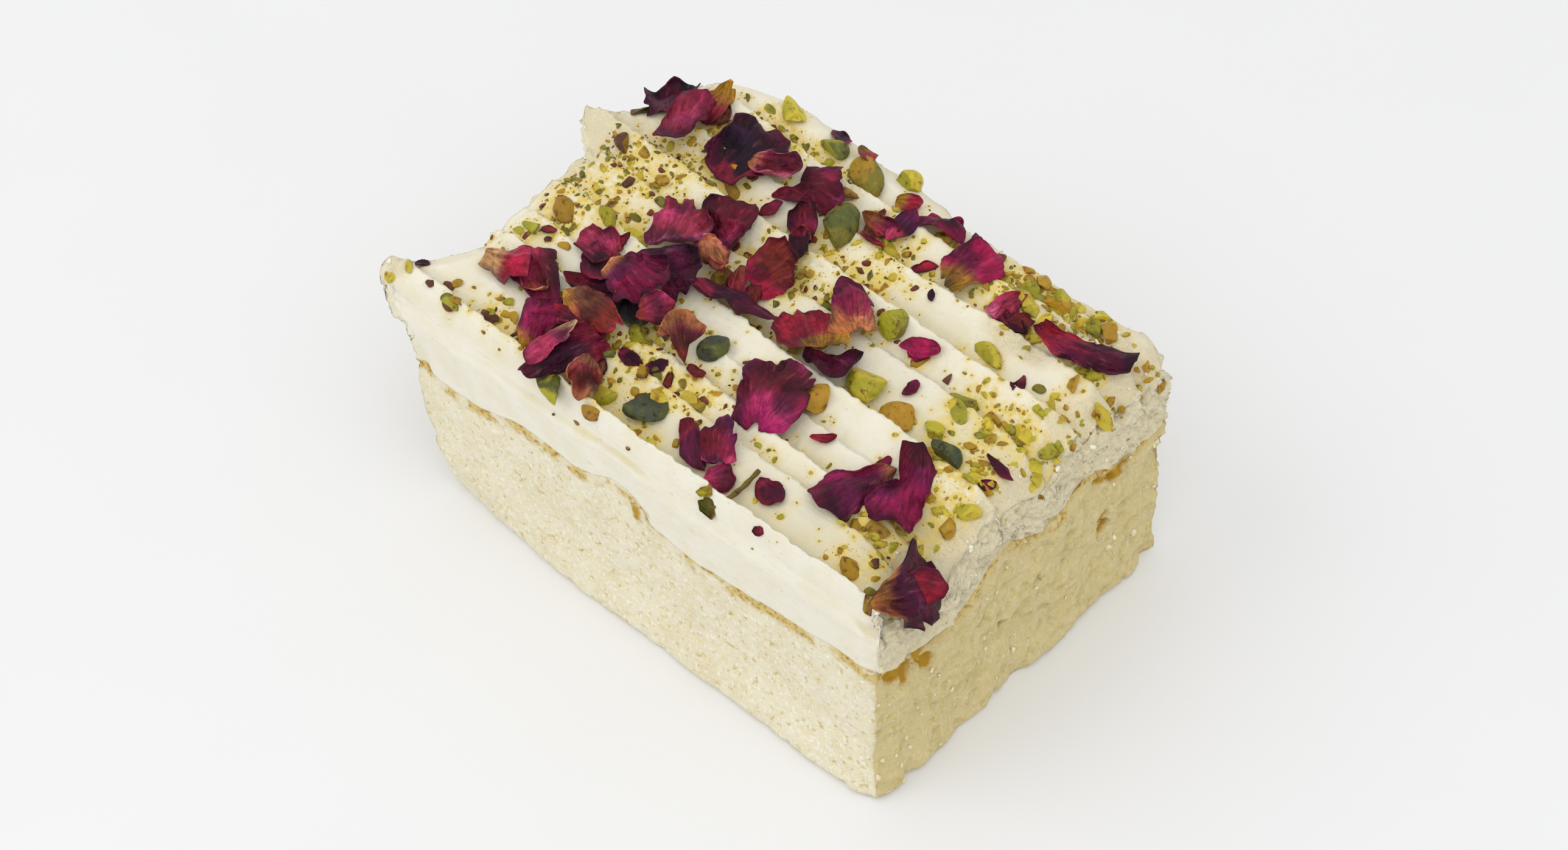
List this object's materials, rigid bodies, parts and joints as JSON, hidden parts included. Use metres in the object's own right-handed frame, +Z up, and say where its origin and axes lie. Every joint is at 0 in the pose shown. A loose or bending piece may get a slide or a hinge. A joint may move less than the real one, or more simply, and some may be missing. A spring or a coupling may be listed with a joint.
{
  "type": "milk cake",
  "caption": "Oblong cut piece of pale sponge cake under thick combed cream, strewn with dried rose petals and chopped pistachio.",
  "frame": {"origin": "middle of the flat base", "axes": "+X along the strokes in the cream towards the rough cut end, -Y towards the smooth long cut side, +Z up"},
  "size_m": [0.1148, 0.0808, 0.0516],
  "materials": {
    "sponge": "fine even crumb, slightly moist, matt",
    "cream": "smooth thick whipped cream, soft satin",
    "petal": "dried rose petal, magenta with an amber base, satin veins",
    "dark_petal": "dried rose petal, burgundy to near black, satin veins",
    "dry_petal": "dried rose petal, russet to tan, matt and wrinkled",
    "pistachio": "chopped pistachio, yellow-green with darker skin, matt"
  },
  "bodies": {
    "root": {"cream": "cream", "petal_01": "dark_petal", "petal_02": "petal", "petal_03": "dark_petal", "petal_04": "dark_petal", "petal_05": "dark_petal", "petal_06": "dark_petal", "petal_07": "dark_petal", "petal_08": "dry_petal", "petal_09": "dark_petal", "petal_10": "petal", "petal_11": "dark_petal", "petal_12": "dark_petal", "petal_13": "dark_petal", "petal_14": "petal", "petal_15": "dry_petal", "petal_16": "petal", "petal_17": "dark_petal", "petal_18": "petal", "petal_19": "petal", "petal_20": "dark_petal", "petal_21": "dark_petal", "petal_22": "petal", "petal_23": "dry_petal", "petal_24": "dry_petal", "petal_25": "petal", "petal_26": "dry_petal", "petal_27": "dark_petal", "petal_28": "dry_petal", "petal_29": "petal", "petal_30": "petal", "petal_31": "dark_petal", "petal_32": "dark_petal", "petal_33": "petal", "petal_34": "petal", "petal_35": "dark_petal", "petal_36": "petal", "petal_37": "dark_petal", "petal_38": "dark_petal", "petal_39": "dark_petal", "pistachio_01": "pistachio", "pistachio_02": "pistachio", "pistachio_03": "pistachio", "pistachio_04": "pistachio", "pistachio_05": "pistachio", "pistachio_06": "pistachio", "pistachio_07": "pistachio", "pistachio_08": "pistachio", "pistachio_09": "pistachio", "pistachio_10": "pistachio", "pistachio_11": "pistachio", "sponge": "sponge"}
  },
  "joints": []
}
